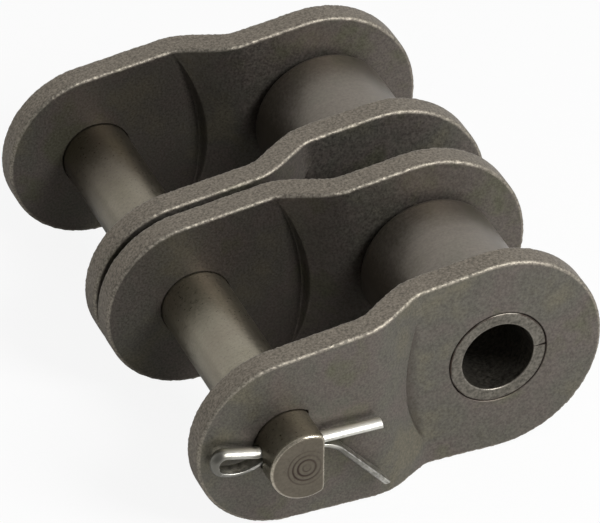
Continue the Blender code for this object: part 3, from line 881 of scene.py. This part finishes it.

# Oil on the pin's side in the outer plate, and painted shade on the rear strand, darker near the rear
# plate.
FLATTED_OIL = 0.22
REAR_STRAND_SHADE = 0.2
REAR_END_SHADE = 0.30
REAR_END_SHADE_START = 11.5 * MM
REAR_END_SHADE_RAMP = 3.0 * MM
pin_angles = np.linspace(0.0, 2 * math.pi, PIN_STEPS, endpoint=False)


def flatted_ring(radius, flat):
    """Radii round the pin at each angle, with a flat towards +X whose corners are rounded."""
    # Away from +X the line of the flat is never near, so any distance past the radius does.
    to_flat = flat / np.maximum(np.cos(pin_angles), 0.05)
    return -soft_larger(np.full_like(to_flat, -radius), -to_flat, PIN_FLAT_CORNER)


def pin_ring(bm, radii, depths, rubbed=0.0, oil_shade=0.0):
    """A ring of vertices round the pin's axis, at one depth or at one for each vertex."""
    bare = bm.verts.layers.float["worn_corner"]
    oil_and_shade = bm.verts.layers.float["oil_and_shade"]
    radii = np.broadcast_to(radii, PIN_STEPS)
    depths = np.broadcast_to(depths, PIN_STEPS)
    shares = np.broadcast_to(oil_shade, PIN_STEPS)
    ring = []
    for angle, radius, y, share in zip(pin_angles, radii, depths, shares):
        place = (PIN_AXIS.x + radius * math.cos(angle), y, PIN_AXIS.z + radius * math.sin(angle))
        ring.append(bm.verts.new(place))
        ring[-1][bare] = rubbed
        ring[-1][oil_and_shade] = share
    return ring


def facing_marks(radii):
    """The facing tool's ring marks at those radii: their depth, and the oil that they hold."""
    depth = np.zeros(PIN_STEPS)
    for centre, half_width, deepest, towards, swing in FACE_GROOVES:
        near = np.maximum(1 - np.abs(radii - centre) / half_width, 0.0)
        uneven = 1 - swing * (1 - np.cos(pin_angles - towards)) / 2
        depth = np.maximum(depth, deepest * near * near * (3 - 2 * near) * uneven)
    return depth, FACE_OIL + depth / GROOVE_FULL_OF_OIL * (1 - FACE_OIL)


bm = bmesh.new()
bm.verts.layers.float.new("worn_corner")
bm.verts.layers.float.new("oil_and_shade")
rings = []
face_rings = list(np.arange(FACE_START, FACE_ROUND_TO, FACE_RING_SPACING))
faced = flatted_ring(PIN_RADIUS - PIN_EDGE, PIN_FLAT - PIN_EDGE)
for share in np.linspace(0.0, FACE_OUTER_REACH, FACE_OUTER_RINGS):
    face_rings.append(FACE_ROUND_TO + (faced - FACE_ROUND_TO) * share)
for radii in face_rings:
    depth, oil_shade = facing_marks(radii)
    rings.append(pin_ring(bm, radii, pin_low.y + depth, oil_shade=oil_shade))
for step in range(PIN_EDGE_STEPS + 1):
    turn = step / PIN_EDGE_STEPS * math.pi / 2
    inset = PIN_EDGE * (1 - math.sin(turn))
    radii = flatted_ring(PIN_RADIUS - inset, PIN_FLAT - inset)
    edge_y = pin_low.y + PIN_EDGE * (1 - math.cos(turn))
    rubbed = min(step, PIN_EDGE_STEPS - step, 2) / 2
    rings.append(pin_ring(bm, radii, edge_y, rubbed, FACE_OIL * max(1 - step / 2, 0.0)))
flat_end = BUSH_AXES["front"].y - WIDE_INNER + PIN_FLAT_PAST_PLATE
flatted = flatted_ring(PIN_RADIUS, PIN_FLAT)
shoulder = pin_high.y - PIN_HEAD_THICKNESS
for y in np.linspace(pin_low.y + 2 * PIN_EDGE, flat_end, PIN_FLATTED_RINGS):
    rings.append(pin_ring(bm, flatted, y, oil_shade=FLATTED_OIL))
for y in np.linspace(flat_end, shoulder, PIN_ROUND_RINGS):
    # Painted shade on the rear strand's part of the pin, darker towards the rear plate.
    oil_shade = REAR_END_SHADE * min(max((y - REAR_END_SHADE_START) / REAR_END_SHADE_RAMP, 0.0), 1.0)
    oil_shade += REAR_STRAND_SHADE if y > 0 else 0.0
    rings.append(pin_ring(bm, PIN_RADIUS, y, oil_shade=oil_shade))
head = [(PIN_HEAD_RADIUS - PIN_HEAD_CHAMFER, shoulder), (PIN_HEAD_RADIUS, shoulder + PIN_HEAD_CHAMFER)]
for step in range(PIN_HEAD_STEPS + 1):
    turn = step / PIN_HEAD_STEPS * math.pi / 2
    radius = PIN_HEAD_RADIUS - PIN_HEAD_ROUNDING * (1 - math.cos(turn))
    head.append((radius, pin_high.y - PIN_HEAD_ROUNDING * (1 - math.sin(turn))))
head += [(radius, pin_high.y - depth) for radius, depth in PIN_HEAD_DISH]
rings += [pin_ring(bm, radius, y) for radius, y in head]
for ring, following in zip(rings, rings[1:]):
    for i in range(PIN_STEPS):
        j = (i + 1) % PIN_STEPS
        bm.faces.new((ring[i], ring[j], following[j], following[i]))
bm.faces.new(rings[0])
bm.faces.new(rings[-1])
bmesh.ops.recalc_face_normals(bm, faces=bm.faces)
blank = mesh_object("pin_blank", bm)

bm = bmesh.new()
bmesh.ops.create_cone(
    bm,
    cap_ends=True,
    segments=CROSS_DRILL_STEPS,
    radius1=CROSS_HOLE_RADIUS,
    radius2=CROSS_HOLE_RADIUS,
    depth=CROSS_DRILL_LENGTH,
)
bm.transform(Matrix.Rotation(math.radians(90), 4, "Y"))
bm.transform(Matrix.Translation((PIN_AXIS.x, SPLIT_PIN_Y, PIN_AXIS.z)))
drill = mesh_object("cross_drill", bm)
drilled = blank.modifiers.new("cross_hole", "BOOLEAN")
drilled.operation = "DIFFERENCE"
drilled.solver = "EXACT"
drilled.object = drill
cut = bpy.data.meshes.new_from_object(blank.evaluated_get(bpy.context.evaluated_depsgraph_get()))
bpy.data.objects.remove(blank)
bpy.data.objects.remove(drill)
bm = bmesh.new()
bm.from_mesh(cut)

pin_steel = turned_steel(
    "pin_steel",
    tones=((0.240, 0.218, 0.164), (0.276, 0.251, 0.196), (0.258, 0.230, 0.180)),
    grain_size=0.22,
    speckle=0.14,
    roughness=0.33,
    line_width=0.07,
    line_share=0.04,
    wear=0.9,
    bare=(0.48, 0.43, 0.35),
    depth=0.002 * MM,
)
finished_piece("link_pin_steel", bm, pin_steel, "link_pin", "front_strand", sharp=35)

# Split pin: zinc-plated half-round wire, folded on its flat side into an eye. It is pushed
# through the cross hole from the left until the eye meets the pin. One leg stays straight and
# the other is bent down over the plate, so the pin can't work out.
WIRE_WIDTH = split_high.y - split_low.y
WIRE_THICKNESS = 0.56 * MM
WIRE_CORNER = 0.20 * MM
WIRE_END_BEVEL = 0.07 * MM
BEND_STEPS = 20
HALF_ROUND_POINTS = 25
WIRE_CORNER_STEPS = 3
EYE_REACH = PIN_AXIS.x - split_low.x
EYE_HEIGHT = 2.89 * MM
EYE_MOUTH = -PIN_RADIUS - 0.15 * MM
EYE_FAR = WIRE_THICKNESS - EYE_REACH
EYE_MIDDLE = (EYE_MOUTH + EYE_FAR) / 2
UPPER_FLAT = 0.32 * MM
LOWER_FLAT = 0.28 * MM
STRAIGHT_LEG_END = 7.40 * MM
LEG_BEND = 3.113 * MM
LEG_BEND_RADIUS = 3.2 * MM
BENT_LEG_END = (8.102 * MM, -5.261 * MM)

# Corners of the wire's flat side in X and Z from the pin's axis, from leg to leg round the eye,
# each with its bend radius. They stand a little wide of the eye, because the bends cut inside.
CORNER_SPREAD = 1.17
EYE_INSIDE = (EYE_HEIGHT - 2 * WIRE_THICKNESS) * CORNER_SPREAD
wire_corners = (
    (STRAIGHT_LEG_END, UPPER_FLAT, 0.0),
    (EYE_MOUTH, UPPER_FLAT, 0.40 * EYE_INSIDE),
    (EYE_FAR, UPPER_FLAT + 0.39 * EYE_INSIDE, 0.27 * EYE_INSIDE),
    (EYE_FAR, UPPER_FLAT - 0.21 * EYE_INSIDE, 0.36 * EYE_INSIDE),
    (EYE_MIDDLE, UPPER_FLAT - 0.70 * EYE_INSIDE, 1.45 * EYE_INSIDE),
    (EYE_MOUTH, UPPER_FLAT - 0.20 * EYE_INSIDE, 1.45 * EYE_INSIDE),
    (LEG_BEND, LOWER_FLAT, LEG_BEND_RADIUS),
    (*BENT_LEG_END, 0.0),
)
wire_path = bpy.data.curves.new("split_pin_path", "CURVE")
wire_path.dimensions = "3D"
spline = wire_path.splines.new("POLY")
spline.points.add(len(wire_corners) - 1)
for point, (x, z, bend) in zip(spline.points, wire_corners):
    point.co = (PIN_AXIS.x + x, SPLIT_PIN_Y, PIN_AXIS.z + z, 1.0)
    point.radius = bend

# The wire: the path with each corner bent to its radius, swept with a half-round section whose
# flat lies on the path.
drawn_wire, wire_sockets, given, result = geometry_tree(
    "drawn_wire",
    {"Path": "Geometry", "Width": "Float", "Thickness": "Float", "Corner": "Float", "Zinc": "Material"},
)
bend_radius = add_node(drawn_wire, "GeometryNodeInputRadius").outputs[0]
folded = add_node(
    drawn_wire,
    "GeometryNodeFilletCurve",
    {"Curve": given.outputs["Path"], "Count": BEND_STEPS, "Radius": bend_radius},
    mode="POLY",
)
flat_inwards = add_node(
    drawn_wire,
    "GeometryNodeSetCurveNormal",
    {"Curve": folded.outputs[0], "Normal": (0.0, 1.0, 0.0)},
    mode="FREE",
)
even = add_node(drawn_wire, "GeometryNodeSetCurveRadius", {"Curve": flat_inwards.outputs[0], "Radius": 1.0})
half_round = add_node(
    drawn_wire,
    "GeometryNodeCurveArc",
    {"Resolution": HALF_ROUND_POINTS, "Radius": 1.0, "Start Angle": math.pi, "Sweep Angle": math.pi},
)
closed_section = add_node(
    drawn_wire, "GeometryNodeSetSplineCyclic", {0: half_round.outputs[0], "Cyclic": True}
)
half_width = math_node(drawn_wire, "MULTIPLY", given.outputs["Width"], 0.5)
section_size = add_node(
    drawn_wire, "ShaderNodeCombineXYZ", {0: half_width, 1: given.outputs["Thickness"], 2: 1.0}
)
section = add_node(
    drawn_wire,
    "GeometryNodeTransform",
    {0: closed_section.outputs[0], "Scale": section_size.outputs[0]},
)
eased = add_node(
    drawn_wire,
    "GeometryNodeFilletCurve",
    {
        "Curve": section.outputs[0],
        "Count": WIRE_CORNER_STEPS,
        "Radius": given.outputs["Corner"],
        "Limit Radius": True,
    },
    mode="POLY",
)
sweep(drawn_wire, even, eased, given.outputs["Zinc"], result)

ZINC_TONES = ((0.47, 0.46, 0.41), (0.58, 0.57, 0.52), (0.52, 0.51, 0.47))
# The darkest colour of the wire's painted shade, then the bright zinc of its rubbed corners.
SHADED_ZINC = (0.13, 0.125, 0.108, 1.0)
RUBBED_ZINC = (0.62, 0.61, 0.56, 1.0)
ZINC_GRAIN_DEPTH = 0.0015 * MM
zinc_wire = bpy.data.materials.new("zinc_wire")
zinc_wire.use_nodes = True
tree = zinc_wire.node_tree
shader = tree.nodes["Principled BSDF"]
shader.inputs["Metallic"].default_value = 1.0
grain = add_node(tree, "ShaderNodeGroup", {"Grain Size": 0.22, "Mottle Size": 1.6}, node_tree=steel_grain)
worn = add_node(tree, "ShaderNodeGroup", {"Nick Size": 0.4, "Wear": 0.9}, node_tree=worn_edges)
oil_and_shade = add_node(tree, "ShaderNodeAttribute", attribute_name="oil_and_shade").outputs["Fac"]
zinc = colour_between(tree, grain.outputs["Mottle"], ZINC_TONES)
# Painted shade on the wire, from its vertex layer.
zinc = mixed_colour(tree, oil_and_shade, zinc, SHADED_ZINC)
zinc = mixed_colour(tree, worn.outputs["Bare"], zinc, RUBBED_ZINC)
tree.links.new(zinc, shader.inputs["Base Color"])
tree.links.new(mapped(tree, grain.outputs["Grain"], 0.30, 0.42), shader.inputs["Roughness"])
add_bump(tree, shader, grain.outputs["Height"], ZINC_GRAIN_DEPTH)

wire_sizes = {"Width": WIRE_WIDTH, "Thickness": WIRE_THICKNESS, "Corner": WIRE_CORNER, "Zinc": zinc_wire}
bm = mesh_from_tree("split_pin_path", drawn_wire, wire_sockets, wire_sizes, wire_path)
bmesh.ops.recalc_face_normals(bm, faces=bm.faces)
# Only the two cut ends have more than eight corners.
end_edges = [edge for face in bm.faces if len(face.verts) > 8 for edge in face.edges]
bmesh.ops.bevel(bm, geom=end_edges, offset=WIRE_END_BEVEL, segments=3, profile=0.5, affect="EDGES")

# Painted shade darkens the wire round the eye's far bend, on its underside and inside the eye.
FAR_BEND_SHADE = 1.6 * MM
UNDERSIDE_FROM = 0.3 * MM
UNDERSIDE_RAMP = 0.5 * MM
UNDERSIDE_SHADE = 0.8
INSIDE_EYE_GAIN = 1.4
INSIDE_EYE_FROM = 0.5
SHADE_MOST = 0.9
EYE_MIDDLE_RISE = 0.1 * MM
eye_middle = Vector((PIN_AXIS.x + EYE_MIDDLE, 0.0, PIN_AXIS.z + EYE_MIDDLE_RISE))
oil_and_shade = bm.verts.layers.float.new("oil_and_shade")
bm.normal_update()
for vert in bm.verts:
    far_bend = (PIN_AXIS.x + EYE_FAR + FAR_BEND_SHADE - vert.co.x) / FAR_BEND_SHADE
    underside = (PIN_AXIS.z - UNDERSIDE_FROM - vert.co.z) / UNDERSIDE_RAMP * UNDERSIDE_SHADE
    inside_eye = 0.0
    if vert.co.x < PIN_AXIS.x + EYE_MOUTH:
        inwards = Vector((eye_middle.x - vert.co.x, 0.0, eye_middle.z - vert.co.z)).normalized()
        inside_eye = vert.normal.dot(inwards) * INSIDE_EYE_GAIN - INSIDE_EYE_FROM
    vert[oil_and_shade] = min(max(far_bend, underside, inside_eye, 0.0), SHADE_MOST)
mark_worn_corners(bm)
finished_piece("split_pin_wire", bm, zinc_wire, "split_pin", "front_strand", sharp=50)

# Floor, light and camera: a sheet of white paper that the link lies on, in a white tent with one
# broad lamp above its bush side, and the photograph's three-quarter view of the flatted end.
PAPER_SIZE = 1.2
PAPER_TONES = ((0.86, 0.86, 0.86), (0.88, 0.88, 0.88))
PAPER_FIBRE = 1.5
bm = bmesh.new()
bmesh.ops.create_grid(bm, x_segments=1, y_segments=1, size=PAPER_SIZE / 2)
floor = mesh_object("floor", bm)


def seen_by(tree):
    """1 on a ray from the camera, and 1 on one that shows the background there or in the steel."""
    ray = add_node(tree, "ShaderNodeLightPath")
    camera_ray = ray.outputs["Is Camera Ray"]
    shown = math_node(tree, "MAXIMUM", camera_ray, ray.outputs["Is Glossy Ray"])
    return camera_ray, math_node(tree, "MAXIMUM", shown, ray.outputs["Is Transmission Ray"])


# The paper looks nearly white to the camera, keeps the link's shadow and lights the link plainly.
PAPER_WHITE_TO_CAMERA = 0.90
PAPER_WHITE_IN_STEEL = 0.08
white_paper = bpy.data.materials.new("white_paper")
white_paper.use_nodes = True
tree = white_paper.node_tree
tree.nodes.remove(tree.nodes["Principled BSDF"])
paper_colour = colour_between(tree, noise_in_mm(tree, PAPER_FIBRE, 2.0), PAPER_TONES)
diffuse = add_node(tree, "ShaderNodeBsdfDiffuse", {"Color": paper_colour})
glow = add_node(tree, "ShaderNodeEmission", {"Color": (1.0, 1.0, 1.0, 1.0), "Strength": 1.0})
camera_ray, shown = seen_by(tree)
to_camera = math_node(tree, "MULTIPLY", camera_ray, PAPER_WHITE_TO_CAMERA)
in_steel = math_node(tree, "MULTIPLY", shown, PAPER_WHITE_IN_STEEL)
share = math_node(tree, "MAXIMUM", in_steel, to_camera)
paper = add_node(tree, "ShaderNodeMixShader", {0: share, 1: diffuse.outputs[0], 2: glow.outputs[0]})
tree.links.new(paper.outputs[0], tree.nodes["Material Output"].inputs["Surface"])
floor.data.materials.append(white_paper)

# The tent is dimmer where the camera stands, and lights the link at less than it shows.
TENT_LIGHT = 0.45
TENT_OPENING = (-0.60, -0.60, 0.53)
TENT_OPENING_LIGHT = 0.30
TENT_FADE = (-0.1, 0.9)
world = bpy.data.worlds.new("white_tent")
bpy.context.scene.world = world
world.use_nodes = True
tree = world.node_tree
camera_ray, shown = seen_by(tree)
direction = add_node(tree, "ShaderNodeTexCoord").outputs["Generated"]
opening = add_node(tree, "ShaderNodeVectorMath", {0: direction, 1: TENT_OPENING}, operation="DOT_PRODUCT")
tent = mapped(tree, opening.outputs["Value"], 1.0, TENT_OPENING_LIGHT, *TENT_FADE)
level = mapped(tree, shown, TENT_LIGHT, 1.0, from_min=0.0, from_max=1.0)
lit = math_node(tree, "MULTIPLY", level, tent)
strength = math_node(tree, "MAXIMUM", camera_ray, lit)
tree.nodes["Background"].inputs["Color"].default_value = (1.0, 1.0, 1.0, 1.0)
tree.links.new(strength, tree.nodes["Background"].inputs["Strength"])

LAMP_PLACE = Vector((0.14, -0.20, 0.22))
LAMP_TARGET = Vector((0.0, 0.0, 0.01))
LAMP_WIDTH = 0.13
LAMP_WATTS = 1.0
soft_light = bpy.data.lights.new("key_lamp", "AREA")
soft_light.shape = "SQUARE"
soft_light.size = LAMP_WIDTH
soft_light.energy = LAMP_WATTS
key_lamp = scene_object("key_lamp", soft_light)
key_lamp.location = LAMP_PLACE
key_lamp.rotation_euler = (LAMP_TARGET - LAMP_PLACE).to_track_quat("-Z", "Y").to_euler()

# The camera's angles are in degrees. Its long lens, on a sensor 36 mm wide, gives the flat view.
CAMERA_PLACE = (-0.14298, -0.34112, 0.27510)
CAMERA_TURN = -22.678
CAMERA_ELEVATION = 35.819
CAMERA_ROLL = 0.47
photo_lens = bpy.data.cameras.new("photo_camera")
photo_lens.lens = 334.4
photo_lens.sensor_width = 36.0
photo_lens.clip_start = 0.02
camera = scene_object("photo_camera", photo_lens)
bpy.context.scene.camera = camera
turned = Matrix.Rotation(math.radians(CAMERA_TURN), 4, "Z")
raised = Matrix.Rotation(math.radians(90 - CAMERA_ELEVATION), 4, "X")
rolled = Matrix.Rotation(math.radians(CAMERA_ROLL), 4, "Z")
camera.matrix_world = Matrix.Translation(CAMERA_PLACE) @ turned @ raised @ rolled

bpy.context.scene.view_settings.view_transform = "Standard"
